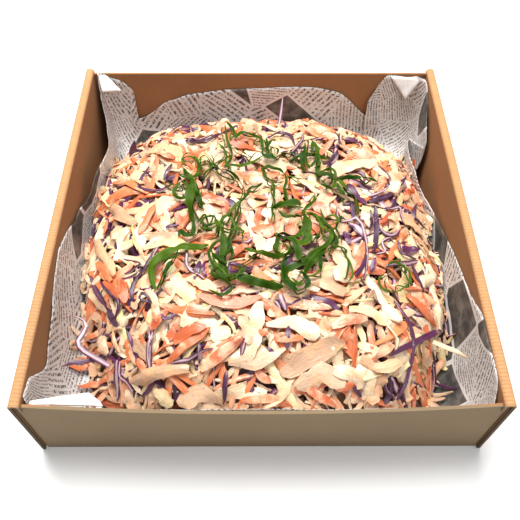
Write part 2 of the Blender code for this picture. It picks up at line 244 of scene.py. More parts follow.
def kraft_finish():
    """Uncoated brown board: cloudy fibres and faint flutes, with painted light on the tops of the
    rolled folds and painted shade in their flute creases. The front's outer face is greyer board
    darkened with painted shade, and the side walls' ends are dark cut board edges with painted
    shade in the hollow between the boards.
    """
    kraft = Finish("kraft board", {"Roughness": 0.82, "Specular IOR Level": 0.25})
    place = kraft.place()
    x, y, z = kraft.parts(place)
    clouds = kraft.noise(place, 26, 3, 0.6)
    fibres = kraft.noise(kraft.stretch(place, (260, 260, 1900)), 1, 3, 0.65)
    flecks = kraft.noise(place, 1500, 2, 0.5).step(0.66, 0.76)
    inside = clouds.between(linear(147, 105, 71), linear(163, 118, 82))
    # Painted shade: the front's outer face is greyer board, and darker still for the shade it
    # stands in.
    outer_face_painted_shade = clouds.between(linear(123, 105, 80), linear(134, 116, 90))
    across, along = x.math("ABSOLUTE", x), y
    outer = (along * -1).step(cad_inner_y + 1.2 * MM, cad_inner_y + 1.5 * MM)
    colour = outer.between(inside, outer_face_painted_shade)
    roll = across.step(cad_inner_x - 0.2 * MM, cad_inner_x + 0.4 * MM) * z.step(
        cad_high.z - 2.4 * MM, cad_high.z - 1.0 * MM
    )
    flutes = y.math("SINE", y * (2 * math.pi / FLUTE)).step(0.2, 1.0)
    # Painted light: the tops of the rolls are paler, as where they face up into the light.
    colour = (roll * 0.75).between(colour, linear(200, 152, 106))
    # Painted shade: darker stripes in the flute creases along the rolls.
    colour = (roll * flutes * 0.3).between(colour, linear(150, 106, 68))
    colour = (fibres.step(0.3, 0.7) * 0.16).between(colour, linear(120, 84, 52))
    colour = (flecks * 0.25).between(colour, linear(96, 66, 42))
    # The side walls' ends: dark for the cut board edges, and darker still as painted shade in the
    # hollow between the two boards.
    hollow = across.step(cad_inner_x + 0.9 * MM, cad_inner_x + 1.3 * MM) * y.math(
        "ABSOLUTE", y
    ).step(cad_inner_y + 1.9 * MM, cad_inner_y + 2.3 * MM)
    cut = hollow * (across.step(cad_high.x - 0.1 * MM, cad_high.x - 0.5 * MM))
    cut = cut * z.step(cad_high.z - 1.4 * MM, cad_high.z - 2.2 * MM)
    colour = (cut * 0.85).between(colour, linear(66, 50, 34))
    relief = fibres * 0.4 + kraft.noise(place, 700, 3, 0.6) - roll * flutes
    return kraft.surface(colour, bump=relief, depth=0.00012)


# The liner -------------------------------------------------------------------------------

PAPER = 0.14 * MM
LINER_TO_WALL = 0.6 * MM
FLOOR_CORNER = 26 * MM
FLOOR_INSET = 13 * MM
LINER_STEPS = 8
LINER_ROWS = 34
SIDE = (cad_inner_x - LINER_TO_WALL) / MM
END = (cad_inner_y - LINER_TO_WALL) / MM

# The liner's upper edge in millimetres, from the middle of the front wall clockwise as seen
# from above. The back left ear curls back on itself, and the back right one spreads out.
LINER_EDGE = [
    (0, -END, 46), (-30, -END, 45), (-60, -END, 46), (-84, -END, 49), (-99, -END, 51),
    (-105, -END, 53), (-SIDE, -108, 56), (-SIDE, -104, 55), (-SIDE, -99, 54), (-SIDE, -95, 49),
    (-SIDE, -89, 40), (-SIDE, -84, 36), (-SIDE, -79, 37), (-SIDE, -70, 40), (-SIDE, -57, 44),
    (-SIDE, -42, 49), (-SIDE, -32, 51), (-SIDE, -25, 52), (-SIDE, -19, 50), (-SIDE, -11, 47),
    (-SIDE, -2, 43), (-106, 3, 40), (-106, 14, 37), (-105, 24, 32), (-103, 30, 32),
    (-101, 35, 36), (-100, 43, 37), (-98, 53, 36), (-97, 67, 33), (-98, 77, 36),
    (-100, 88, 36), (-102, 95, 42), (-104, 103, 50), (-104, 109, 57), (-101, END, 57),
    (-98, END, 54), (-91, END, 51), (-86, END, 46), (-84, END, 41), (-85, 109, 33),
    (-87, 107, 30), (-86, 106, 24), (-83, 108, 21), (-79, 110, 21), (-73, END, 25),
    (-64, END, 33), (-57, END, 36), (-50, END, 39), (-40, END, 41), (-20, END, 44),
    (0, END, 45), (18, END, 46), (34, END, 46), (44, END, 44), (53, END, 41),
    (60, END, 35), (67, END, 27), (73, 109, 22), (80, 107, 17), (82, 105, 17),
    (76, 106, 26), (72, 107, 35), (75, 109, 42), (78, END, 48), (82, END, 55),
    (89, END, 55), (96, END, 54), (103, 109, 56), (SIDE, 103, 56), (SIDE, 92, 49),
    (105, 79, 45), (105, 67, 36), (102, 74, 30), (99, 84, 25), (97, 80, 26),
    (96, 68, 27), (98, 55, 26), (100, 40, 25), (103, 26, 26), (105, 13, 28),
    (SIDE, -5, 33), (SIDE, -16, 37), (SIDE, -30, 42), (SIDE, -41, 45), (SIDE, -51, 48),
    (SIDE, -59, 52), (SIDE, -67, 56), (SIDE, -80, 57), (SIDE, -99, 57), (SIDE, -105, 53),
    (105, -END, 49), (98, -END, 46), (80, -END, 46), (55, -END, 46), (28, -END, 45),
]

# Tips of the sheet that fold over and show its plain side: three corners each.
FOLDED_TIPS = {
    "liner_tip_back_left": [(-105, 111, 57), (-99, 110.5, 55), (-90, 105, 47), (-103, 104, 47)],
    "liner_tip_back_right": [(84, 110.5, 55), (105, 109.5, 54), (96, 105, 40)],
    "liner_tip_front_left": [
        (-105.5, -110, 50.5), (-105, -108.5, 51), (-92, -106, 50.5), (-79, -104.3, 50.5),
        (-73.6, -108.5, 50), (-72, -110.4, 49),
    ],
}


def foot_of(edge):
    """Where the liner below a point of its edge leaves the floor: a rounded rectangle."""
    half = Vector((SIDE * MM - FLOOR_INSET, END * MM - FLOOR_INSET))
    x = min(max(edge.x, -half.x), half.x)
    y = min(max(edge.y, -half.y), half.y)
    if abs(edge.x) < half.x:
        y = math.copysign(half.y, edge.y)
    elif abs(edge.y) < half.y:
        x = math.copysign(half.x, edge.x)
    centre = Vector(
        (math.copysign(half.x - FLOOR_CORNER, x), math.copysign(half.y - FLOOR_CORNER, y))
    )
    if abs(x) > abs(centre.x) and abs(y) > abs(centre.y):
        x, y = centre + FLOOR_CORNER * (Vector((x, y)) - centre).normalized()
    return Vector((x, y, 2.2 * MM))


def liner_profile(edge, t):
    """A point of the liner at share t of the way up from its foot to its edge."""
    foot = foot_of(edge)
    outward = Vector((edge.x - foot.x, edge.y - foot.y, 0))
    upright = foot + outward + Vector((0, 0, (edge.z - foot.z) * 0.35))
    handles = (foot, foot + outward * 0.75, upright, edge)
    weights = ((1 - t) ** 3, 3 * t * (1 - t) ** 2, 3 * t * t * (1 - t), t**3)
    return sum((h * w for h, w in zip(handles, weights)), Vector())


def crumple(flat, height):
    """Creases and dents of handled paper, more of them towards its free edge."""
    dent = noise.noise(Vector((flat.x, flat.y, 1.7)) / (19 * MM)) * 0.9
    crease = abs(noise.noise(Vector((flat.x, flat.y, 4.1)) / (27 * MM))) * 1.3
    fine = noise.noise(Vector((flat.x, flat.y, 8.3)) / (6 * MM)) * 0.25
    return (dent - crease + fine + 0.3) * MM * min(1.0, height / (18 * MM))


def build_liner(finish):
    """One sheet from a grid: columns go around the box, and rows go up its walls."""
    edge_line = smooth_curve([Vector(p) * MM for p in LINER_EDGE], LINER_STEPS, True)
    for edge in edge_line:
        edge.x = min(max(edge.x, -SIDE * MM), SIDE * MM)
        edge.y = min(max(edge.y, -END * MM), END * MM)
    columns = len(edge_line)
    bm = bmesh.new()
    bmesh.ops.create_grid(bm, x_segments=columns, y_segments=LINER_ROWS, size=1)
    flats = {}
    for vert in bm.verts:
        column = round((vert.co.x + 1) / 2 * columns) % columns
        row = (vert.co.y + 1) / 2 * (1 + 1.2 / LINER_ROWS) - 1.2 / LINER_ROWS
        edge = edge_line[column]
        foot = foot_of(edge)
        if row < 0:
            vert.co = foot * 0.8
            vert.co.z = foot.z
            flats[vert] = foot.xy * 0.8
            continue
        point = liner_profile(edge, row)
        out = Vector((edge.x - foot.x, edge.y - foot.y))
        out = out.normalized() if out.length > 1e-6 else foot.xy.normalized()
        flat = foot.xy + out * ((point - foot).length + 0.12 * (point.z - foot.z))
        inward = Vector((-out.x, -out.y, 0))
        vert.co = point + inward * max(0.0, crumple(flat, point.z))
        flats[vert] = flat
    uv = bm.loops.layers.uv.new("flat")
    for face in bm.faces:
        for loop in face.loops:
            loop[uv].uv = flats[loop.vert] / (100 * MM)
    bmesh.ops.remove_doubles(bm, verts=bm.verts, dist=0.001 * MM)
    floor_ring = [e for e in bm.edges if e.is_boundary and max(v.co.z for v in e.verts) < 2.5 * MM]
    bmesh.ops.contextual_create(bm, geom=floor_ring)
    bmesh.ops.recalc_face_normals(bm, faces=bm.faces)
    liner = add_piece("liner_sheet", bm, finish)
    shell = liner.modifiers.new("thickness", "SOLIDIFY")
    shell.thickness = PAPER
    shell.offset = 0.0
    return liner


def build_tip(name, corners, finish):
    """A folded tip: a small sheet that bulges a little and hangs over the liner's edge."""
    bm = bmesh.new()
    outline = [bm.verts.new(Vector(corner) * MM) for corner in corners]
    face = bm.faces.new(outline)
    bmesh.ops.poke(bm, faces=[face])
    bmesh.ops.subdivide_edges(bm, edges=bm.edges[:], cuts=5, use_grid_fill=True)
    bm.normal_update()
    uv = bm.loops.layers.uv.new("flat")
    for vert in bm.verts:
        bulge = 0 if vert.is_boundary else 0.8
        ripple = noise.noise(vert.co / (7 * MM)) * 0.5
        vert.co += vert.normal * (bulge + ripple) * MM * (1 if vert.normal.z > 0 else -1)
    for face in bm.faces:
        for loop in face.loops:
            loop[uv].uv = loop.vert.co.xy / (100 * MM)
    tip = add_piece(name, bm, finish)
    shell = tip.modifiers.new("thickness", "SOLIDIFY")
    shell.thickness = PAPER
    shell.offset = 0.0
    return tip


def printed_finish():
    """Off-white paper with a printed patchwork: blocks of text-like rows and dark pictures."""
    paper = Finish("printed paper", {"Specular IOR Level": 0.4})
    flat = paper.node("ShaderNodeUVMap", {"uv_map": "flat"})
    cells = {"Vector": flat, "Scale": 3.4, "Randomness": 0.85}
    cell = paper.node("ShaderNodeTexVoronoi", {"voronoi_dimensions": "2D"}, cells, "Color")
    edge = paper.node(
        "ShaderNodeTexVoronoi",
        {"voronoi_dimensions": "2D", "feature": "DISTANCE_TO_EDGE"},
        cells,
    )
    lot, kind, _ = paper.parts(cell)
    turned = paper.node(
        "ShaderNodeVectorRotate",
        {"rotation_type": "Z_AXIS"},
        {"Vector": flat, "Angle": lot * 6.28},
    )
    along, across, _ = paper.parts(turned)
    rows = across * (kind.step(0.6, 0.62) * -15 + 43)
    row = rows.math("FLOOR", rows)
    in_row = rows.math("FRACT", rows)
    inked = in_row.step(0.16, 0.24) * in_row.step(0.74, 0.66)
    pitch = kind.step(0.6, 0.62) * -50 + 130
    letters = paper.node(
        "ShaderNodeCombineXYZ", inputs={0: along * pitch, 1: in_row * 1.7, 2: row * 3.7}
    )
    strokes = paper.noise(letters, 1.0, 2, 0.7).step(0.46, 0.52)
    words = paper.node("ShaderNodeCombineXYZ", inputs={0: along * 24, 1: row * 5.3, 2: lot})
    gaps = paper.noise(words, 1.0, 1, 0.5).step(0.32, 0.35)
    text = inked * strokes * gaps * edge.step(0.012, 0.02)
    shape = paper.noise(flat, 9, 5, 0.7)
    picture = kind.step(0.22, 0.2) * edge.step(0.04, 0.05)
    text = text * kind.step(0.22, 0.24)
    cloudy = paper.noise(paper.place(), 30, 3, 0.6)
    sheet = cloudy.between(linear(206, 202, 200), linear(225, 221, 218))
    printed = (text * 0.9).between(sheet, linear(48, 48, 50))
    inside_picture = shape.step(0.4, 0.66).between(linear(26, 26, 24), linear(112, 107, 100))
    printed = (picture * 0.93).between(printed, inside_picture)
    fine = paper.noise(flat, 160, 2, 0.5)
    return paper.surface(printed, fine * 0.12 + 0.42, fine, 0.00004)


def plain_side_finish():
    """The sheet's other side, on which the print shows through faintly."""
    paper = Finish("paper's plain side", {"Roughness": 0.5, "Specular IOR Level": 0.4})
    flat = paper.node("ShaderNodeUVMap", {"uv_map": "flat"})
    along, across, _ = paper.parts(flat)
    rows = across * 38
    in_row = rows.math("FRACT", rows)
    letters = paper.node("ShaderNodeCombineXYZ", inputs={0: along * 60, 1: rows})
    ghost = paper.noise(letters, 1.0, 2, 0.6).step(0.45, 0.6) * in_row.step(0.2, 0.5)
    return paper.surface((ghost * 0.14).between(linear(246, 243, 240), linear(120, 118, 116)))


# Heights and the heap's core -------------------------------------------------------------


class Heights:
    """A map of heights over the table, which rises as pieces are laid on it."""

    CELL = 0.7 * MM

    def __init__(self):
        self.half = cad_high.y
        self.count = int(2 * self.half / self.CELL) + 1
        self.grid = np.zeros((self.count, self.count))

    def cells(self, x, y):
        """The rows and columns of the map under these places."""
        steps = (np.rint((np.asarray(v) + self.half) / self.CELL).astype(int) for v in (x, y))
        return tuple(np.clip(step, 0, self.count - 1) for step in steps)

    def at(self, x, y):
        return self.grid[self.cells(x, y)]

    def raise_to(self, x, y, z):
        np.maximum.at(self.grid, self.cells(x, y), z)

    def places(self):
        return (np.arange(self.count) * self.CELL) - self.half


def heights_from(mesh):
    """Heights of a mesh's topmost surface, sampled at every second cell and blended."""
    tree, heights = BVHTree.FromBMesh(mesh), Heights()
    places = heights.places()
    coarse = places[::2]
    grid = np.zeros((len(coarse), len(coarse)))
    for i, x in enumerate(coarse):
        for j, y in enumerate(coarse):
            hit = tree.ray_cast(Vector((x, y, 0.2)), Vector((0, 0, -1)))[0]
            if hit:
                grid[i, j] = hit.z
    rows = np.array([np.interp(places, coarse, line) for line in grid])
    heights.grid = np.array([np.interp(places, coarse, line) for line in rows.T]).T
    return heights


CORE_DEPTH = 5.5 * MM
FLOOR_TOP = 2.6 * MM  # the liner's upper face on the box's floor


def build_core(finish):
    """The inside of the heap: the frame's solid, drawn in, with a rough relief."""
    bm = merged_copy("coleslaw")
    bm.normal_update()
    normals = {vert: vert.normal.copy() for vert in bm.verts}
    for vert in bm.verts:
        vert.co -= normals[vert] * (CORE_DEPTH if normals[vert].z > -0.2 else 1.2 * MM)
    long_edges = [e for e in bm.edges if e.calc_length() > 4 * MM and e.verts[0].co.z > 5 * MM]
    bmesh.ops.subdivide_edges(bm, edges=long_edges, cuts=2, use_grid_fill=True)
    bmesh.ops.triangulate(bm, faces=bm.faces[:])
    bm.normal_update()
    for vert in bm.verts:
        if vert.normal.z > 0:
            rough = noise.noise(vert.co / (4 * MM)) + 0.6 * noise.noise(vert.co / (2 * MM))
            vert.co.z += rough * 0.9 * MM
        vert.co.z = max(vert.co.z, FLOOR_TOP)
    return add_piece("heap_core", bm, finish)


def core_finish():
    """What shows between the shreds: wet cabbage, carrot and some red cabbage, darkened with
    painted shade for the depths between the shreds.
    """
    core = Finish("heap depths", {"Roughness": 0.45})
    place = core.place()
    mottle = core.noise(place, 170, 3, 0.6)
    # Painted shade: the cabbage deep in the heap is coloured dark brown.
    colour = mottle.step(0.42, 0.6).between(linear(84, 52, 36), linear(140, 96, 66))
    reds = core.noise(place, 120, 2, 0.5, warp=0.6).step(0.6, 0.66)
    colour = reds.between(colour, linear(58, 32, 60))
    carrots = core.noise(core.stretch(place, (90, 90, 90)), 1, 2).step(0.56, 0.62)
    colour = (carrots * 0.7).between(colour, linear(196, 98, 56))
    return core.surface(colour, bump=mottle, depth=0.0008)


# Shreds ----------------------------------------------------------------------------------


def shred_template(sections, across):
    """A flat strip from -1 to 1 along X, Y and Z, cut into sections along X."""
    bm = bmesh.new()
    bmesh.ops.create_cube(bm, size=2)
    for axis, cuts in ((0, sections - 1), (1, across - 1)):
        if cuts:
            lines = [e for e in bm.edges if abs(e.verts[0].co[axis] - e.verts[1].co[axis]) > 1]
            bmesh.ops.subdivide_edges(bm, edges=lines, cuts=cuts, use_grid_fill=True)
    bmesh.ops.recalc_face_normals(bm, faces=bm.faces)
    bm.verts.index_update()
    points = np.array([v.co[:] for v in bm.verts])
    faces = [[v.index for v in face.verts] for face in bm.faces]
    bm.free()
    return points, faces


class Kind:
    """One kind of shred: its template, and the pieces of it that have been laid."""

    def __init__(self, name, finish, sections, across):
        self.name, self.finish = name, finish
        self.points, self.faces = shred_template(sections, across)
        self.placed, self.tints = [], []

    def add(self, centre, side, up, left, right, half_thick, crown, curl, tint):
        """Wrap the template around a centre line: arrays have one row for each sample."""
        share = (self.points[:, 0] + 1) / 2
        samples = np.linspace(0, 1, len(centre))
        along = lambda row: np.interp(share, samples, row)
        at = lambda rows: np.stack([along(rows[:, k]) for k in range(3)], 1)
        v, w = self.points[:, 1], self.points[:, 2]
        width = np.where(v < 0, along(left), along(right))
        bend = crown * (1 - v**2) * width + along(curl) * v * width
        taper = 1 - 0.5 * v**2
        place = at(centre) + at(side) * (v * width)[:, None]
        place += at(up) * (w * along(half_thick) * taper + bend)[:, None]
        self.placed.append(place)
        rows = np.tile(np.asarray(tint, dtype=float), (len(place), 1))
        rows = np.column_stack([rows, (v + 1) / 2, share])
        self.tints.append(rows)

    def build(self):
        """Join every piece into one mesh, with its tints as an attribute."""
        count = len(self.points)
        points = np.concatenate(self.placed)
        points[:, 2] = np.maximum(points[:, 2], FLOOR_TOP)
        faces = [
            [index + k * count for index in face]
            for k in range(len(self.placed))
            for face in self.faces
        ]
        mesh = bpy.data.meshes.new(self.name)
        mesh.from_pydata(points.tolist(), [], faces)
        tints = np.concatenate(self.tints)
        piece_tint = mesh.attributes.new("piece", "FLOAT_COLOR", "POINT")
        piece_tint.data.foreach_set("color", tints.astype(np.float32).ravel())
        mesh.shade_smooth()
        mesh.set_sharp_from_angle(angle=math.radians(48))
        mesh.materials.append(self.finish)
        piece = bpy.data.objects.new(self.name, mesh)
        bpy.context.scene.collection.objects.link(piece)
        return piece


PATH_SAMPLES = 24


def wandering_path(x, y, heading, length, bend, wobble):
    """A plan of a shred: it starts from its middle and bends along its length."""
    s = np.linspace(-0.5, 0.5, PATH_SAMPLES) * length
    phase, rate = rng.uniform(0, 6.28), rng.uniform(1.0, 2.2)
    turn = heading + bend * s + wobble * np.sin(s / length * 6.28 * rate + phase)
    dx, dy = np.cos(turn), np.sin(turn)
    step = length / (PATH_SAMPLES - 1)
    px, py = np.cumsum(dx) * step, np.cumsum(dy) * step
    middle = PATH_SAMPLES // 2
    return x + px - px[middle], y + py - py[middle], s


def rest_on(heights, px, py, s, half_width, stiffness):
    """Heights along a shred that spans the hollows that it is too stiff to follow."""
    slope_x, slope_y = np.gradient(px), np.gradient(py)
    run = np.hypot(slope_x, slope_y) + 1e-9
    nx, ny = -slope_y / run, slope_x / run
    lines = [heights.at(px + nx * k * half_width, py + ny * k * half_width) for k in (-0.8, 0, 0.8)]
    support = 0.5 * np.max(lines, axis=0) + 0.5 * np.mean(lines, axis=0)
    lean = np.clip((lines[2] - lines[0]) / (1.6 * half_width + 1e-6), -0.9, 0.9)
    spans = support[None, :] - stiffness * (s[:, None] - s[None, :]) ** 2
    return spans.max(axis=1), nx, ny, np.convolve(np.pad(lean, 3, "edge"), np.ones(7) / 7, "valid")


def ripples(u):
    """A wandering value along a shred, of about -1 to 1."""
    slow = np.sin(u * rng.uniform(1.5, 4) + rng.uniform(0, 6.3))
    return 0.6 * slow + 0.4 * np.sin(u * rng.uniform(5, 11) + rng.uniform(0, 6.3))


# Painted shade: shreds are darkened by how deep they lie under the heap's surface.
SHADE_DEPTH = 5 * MM  # deeper in the heap than this, a shred has its darkest tone


def lay_shred(kind, heights, path, width, thickness, stiffness, tint, *, ceiling, crown, curl,
              ragged, shade=None, roll=0.0, lift=0.0, pointed=0.6, sink=0.35):
    """Lay one shred on the heap, and raise the map of heights under it."""
    px, py, s = path
    samples = len(s)
    u = np.linspace(-1, 1, samples)
    level, nx, ny, lean = rest_on(heights, px, py, s, width / 2, stiffness)
    level = np.minimum(level, ceiling[heights.cells(px, py)] + 1.0 * MM)
    level = level + thickness * (0.5 - sink) + lift * np.clip(u, 0, 1) ** 2
    # Painted shade: a shred laid deeper under the heap's surface gets a darker tone.
    if shade is not None:
        painted_depth_shade = np.clip((shade[heights.cells(px, py)].mean() - level.mean()) / SHADE_DEPTH, 0, 1)
        tint = (tint[0] * (1 - painted_depth_shade), tint[1])
    tangent = np.stack([np.gradient(px), np.gradient(py), np.gradient(level)], 1)
    tangent /= np.linalg.norm(tangent, axis=1)[:, None] + 1e-12
    flat_side = np.stack([nx, ny, lean], 1)
    flat_side -= tangent * (flat_side * tangent).sum(1)[:, None]
    flat_side /= np.linalg.norm(flat_side, axis=1)[:, None]
    flat_up = np.cross(tangent, flat_side)
    angle = roll + rng.normal(0, 0.25) * u
    side = flat_side * np.cos(angle)[:, None] + flat_up * np.sin(angle)[:, None]
    up = np.cross(tangent, side)
    ends = 1 - pointed * np.abs(u) ** rng.uniform(2.5, 6)
    left, right = (width / 2 * ends * (1 + ragged * ripples(u)) for _ in range(2))
    half_thick = thickness / 2 * (1 - 0.5 * pointed * np.abs(u) ** 6) * np.ones(samples)
    centre = np.stack([px, py, level], 1)
    kind.add(centre, side, up, left, right, half_thick, crown, curl * ripples(u), tint)
    reach = abs(math.cos(roll)) * width / 2 + abs(math.sin(roll)) * thickness / 2
    top = level + thickness / 2 * abs(math.cos(roll)) + width / 2 * abs(math.sin(roll)) * 0.4
    for k in np.linspace(-1, 1, 5):
        for shift in (0.0, 0.5):
            x = px + nx * k * reach
            y = py + ny * k * reach
            x = x[:-1] * (1 - shift) + x[1:] * shift
            y = y[:-1] * (1 - shift) + y[1:] * shift
            z = top[:-1] * (1 - shift) + top[1:] * shift - abs(k) * 0.2 * MM
            heights.raise_to(x, y, z)


# How each kind of shred is cut. Sizes are in millimetres, given as lowest and highest; bends
# are in radians per metre, and stiffness is how sharply a shred can arch.
RECIPES = {
    "cabbage_shreds": dict(count=1150, length=(12, 42), width=(1.4, 4.2), thick=(0.9, 1.6),
                           bend=34, wobble=0.35, stiffness=30, roll=0.4, crown=0.12,
                           curl=0.25, ragged=0.2, pointed=(0.3, 0.9)),
    "cabbage_leaves": dict(count=620, length=(12, 40), width=(3.4, 8.5), thick=(1.0, 1.8),
                           bend=24, wobble=0.3, stiffness=20, roll=0.25, crown=0.25,
                           curl=0.4, ragged=0.42, pointed=(0.15, 0.8)),
    "carrot_sticks": dict(count=840, length=(12, 45), width=(2.4, 5.4), thick=(1.4, 2.4),
                          bend=10, wobble=0.1, stiffness=8, roll=0.45, crown=0.0,
                          curl=0.1, ragged=0.1, pointed=(0.2, 0.85)),
    "red_cabbage_shreds": dict(count=540, length=(10, 48), width=(1.5, 3.6), thick=(0.9, 1.5),
                               bend=45, wobble=0.45, stiffness=26, roll=0.9, crown=0.05,
                               curl=0.2, ragged=0.15, pointed=(0.3, 0.9)),
    "cabbage_bits": dict(count=700, length=(3, 8), width=(1.8, 4.4), thick=(0.8, 1.6),
                         bend=60, wobble=0.4, stiffness=40, roll=0.7, crown=0.1,
                         curl=0.3, ragged=0.3, pointed=(0.2, 0.8)),
}
TEMPLATES = {
    "cabbage_shreds": (10, 2), "cabbage_leaves": (9, 4), "carrot_sticks": (5, 2),
    "red_cabbage_shreds": (10, 2), "cabbage_bits": (3, 2),
}


PATH_TRIES = 7  # for each shred


def choose_path(recipe, room, reach, cells_of, keep, places):
    """The path, of a few tried, that crosses the hollowest part of the heap, if there is one."""
    best, most = None, 0.0
    for _ in range(PATH_TRIES):
        pick = rng.integers(0, len(keep[0]))
        x, y = places[keep[0][pick]], places[keep[1][pick]]
        short, long = recipe["length"]
        length = (short + (long - short) * rng.beta(1.6, 2.6)) * MM
        bend, wobble = (rng.normal(0, recipe[how]) for how in ("bend", "wobble"))
        path = wandering_path(x, y, rng.uniform(0, 2 * math.pi), length, bend, wobble)
        cells = cells_of(path[0], path[1])
        depth = room[cells].mean() + rng.normal(0, 0.5 * MM)
        if depth > most and reach[cells].all():
            best, most = path, depth
    return best


def lump_at(x, y):
    """How far the heap's top swells or sinks here, in handfuls and in single bunches."""
    handful = noise.noise(Vector((x, y, 0.01)) / (17 * MM)) * 2.8
    return (handful + noise.noise(Vector((x, y, 0.2)) / (7 * MM)) * 2.1) * MM


def lay_heap(kinds, heights, target, inside, reach):
    """Lay every kind of shred in one mixed order, until the heap is full."""
    keep, places = np.nonzero(inside), heights.places()
    order = [name for name, recipe in RECIPES.items() for _ in range(recipe["count"])]
    rng.shuffle(order)
    for name in order:
        recipe = RECIPES[name]
        room = target - heights.grid
        path = choose_path(recipe, room, reach, heights.cells, keep, places)
        if path is None:
            continue
        width = rng.uniform(*recipe["width"]) * MM
        thick = rng.uniform(*recipe["thick"]) * MM
        lifted = rng.random() < 0.1 and np.ptp(path[2]) > 16 * MM
        lift = rng.uniform(1, 5) * MM if lifted else 0.0
        lay_shred(
            kinds[name], heights, path, width, thick, recipe["stiffness"],
            (rng.uniform(0.3, 1), rng.random()), ceiling=target, shade=target,
            roll=rng.normal(0, recipe["roll"]),
            lift=lift, crown=rng.normal(0, recipe["crown"]), curl=rng.normal(0, recipe["curl"]),
            ragged=recipe["ragged"], pointed=rng.uniform(*recipe["pointed"]),
        )


STRAY_TRIES = 150
STRAY_TOP = 22 * MM  # strays stay where the liner is lower than this
STRAY_BACK = 84 * MM  # and in front of the ears at the back corners
STRAY_KINDS = ["cabbage_shreds", "red_cabbage_shreds", "carrot_sticks", "cabbage_leaves"]


def lay_strays(kinds, heights, edge, clear, ceiling):
    """Lay loose shreds across the heap's edge, so that it ends unevenly on the liner."""
    spots, places = np.argwhere(edge), heights.places()
    for _ in range(STRAY_TRIES):
        name = rng.choice(STRAY_KINDS)
        recipe = RECIPES[name]
        x, y = places[spots[rng.integers(len(spots))]]
        heading = math.atan2(y, x) + rng.normal(0, 0.7)
        length, bend = rng.uniform(12, 24) * MM, rng.normal(0, recipe["bend"])
        path = wandering_path(x, y, heading, length, bend, 0.4)
        if clear[heights.cells(path[0], path[1])].all():
            lay_shred(
                kinds[name], heights, path, rng.uniform(*recipe["width"]) * MM * 0.8, 1.0 * MM,
                recipe["stiffness"], (rng.uniform(0.1, 0.9), rng.random()), ceiling=ceiling,
                roll=rng.normal(0, 0.4), crown=0.1, curl=0.3, ragged=0.3, sink=-0.1,
            )


def cabbage_finish():
    """Dressed white cabbage: cream with peach and yellow-green tints, and a wet sheen."""
    cabbage = Finish(
        "dressed white cabbage",
        {"Subsurface Weight": 0.2, "Subsurface Scale": 0.0015, "Coat Weight": 0.2,
         "Subsurface Radius": (1.0, 0.6, 0.3), "Coat Roughness": 0.2},
    )
    place = cabbage.place()
    tone, hue, _ = cabbage.parts(cabbage.attribute("piece"))
    # Painted shade: the darker end of this range is reached by shreds darkened for lying deep in
    # the heap.
    base = tone.between(linear(164, 112, 78), linear(246, 224, 192))
    base = (hue.step(0.8, 0.95) * 0.6).between(base, linear(232, 222, 150))
    base = (hue.step(0.25, 0.05) * 0.7).between(base, linear(240, 184, 142))
    stain = cabbage.noise(place, 110, 2, 0.5).step(0.5, 0.68)
    base = (stain * 0.6).between(base, linear(236, 174, 124))
    veins = cabbage.streaks(5, 3)
    base = (veins.step(0.5, 0.72) * 0.5).between(base, linear(222, 170, 122))
    wet = cabbage.noise(place, 260, 2, 0.5).step(0.4, 0.65)
    pepper = cabbage.noise(place, 800, 1, 0.5).step(0.73, 0.77)
    base = (pepper * 0.75).between(base, linear(58, 42, 34))
    return cabbage.surface(base, 0.5 - wet * 0.26, veins + wet * 0.3, 0.0005)


def carrot_finish():
    """Grated carrot under a thin dressing that whitens it in smears."""
    carrot = Finish(
        "dressed carrot",
        {"Subsurface Weight": 0.2, "Subsurface Scale": 0.0015, "Coat Weight": 0.25,
         "Subsurface Radius": (1.0, 0.5, 0.25), "Coat Roughness": 0.2},
    )
    tone, coat, _ = carrot.parts(carrot.attribute("piece"))
    grain = carrot.streaks(4, 3)
    # Painted shade: the darker end of this range is reached by sticks darkened for lying deep in
    # the heap.
    base = tone.between(linear(172, 64, 28), linear(234, 138, 88))
    base = (grain.step(0.5, 0.7) * 0.4).between(base, linear(204, 86, 42))
    smear = carrot.noise(carrot.place(), 130, 3, 0.6) + coat * 0.3
    base = (smear.step(0.6, 0.88) * 0.8).between(base, linear(244, 198, 162))
    return carrot.surface(base, 0.42 - smear.step(0.5, 0.8) * 0.14, grain, 0.0005)


def red_cabbage_finish():
    """Red cabbage: a pale cut face between dark skins, and some strips skin side up."""
    red = Finish(
        "red cabbage",
        {"Subsurface Weight": 0.1, "Subsurface Scale": 0.001, "Coat Weight": 0.3,
         "Coat Roughness": 0.2},
    )
    tone, skin, across = red.parts(red.attribute("piece"))
    # Painted shade: the darker ends of these ranges are reached by strips darkened for lying deep
    # in the heap.
    pale = tone.between(linear(158, 116, 134), linear(222, 190, 190))
    dark = tone.between(linear(40, 16, 38), linear(96, 42, 84))
    rim = across.math("ABSOLUTE", across - 0.5)
    base = rim.step(0.1, 0.34).between(pale, dark)
    base = skin.step(0.3, 0.36).between(base, dark)
    streak = red.streaks(4)
    base = (streak.step(0.55, 0.75) * 0.45).between(base, linear(134, 92, 112))
    smear = red.noise(red.place(), 190, 3, 0.6)
    base = (smear.step(0.6, 0.76) * 0.5).between(base, linear(232, 204, 196))
    return red.surface(base, 0.4 - smear.step(0.5, 0.7) * 0.1, streak, 0.0004)


# Spring onion ----------------------------------------------------------------------------

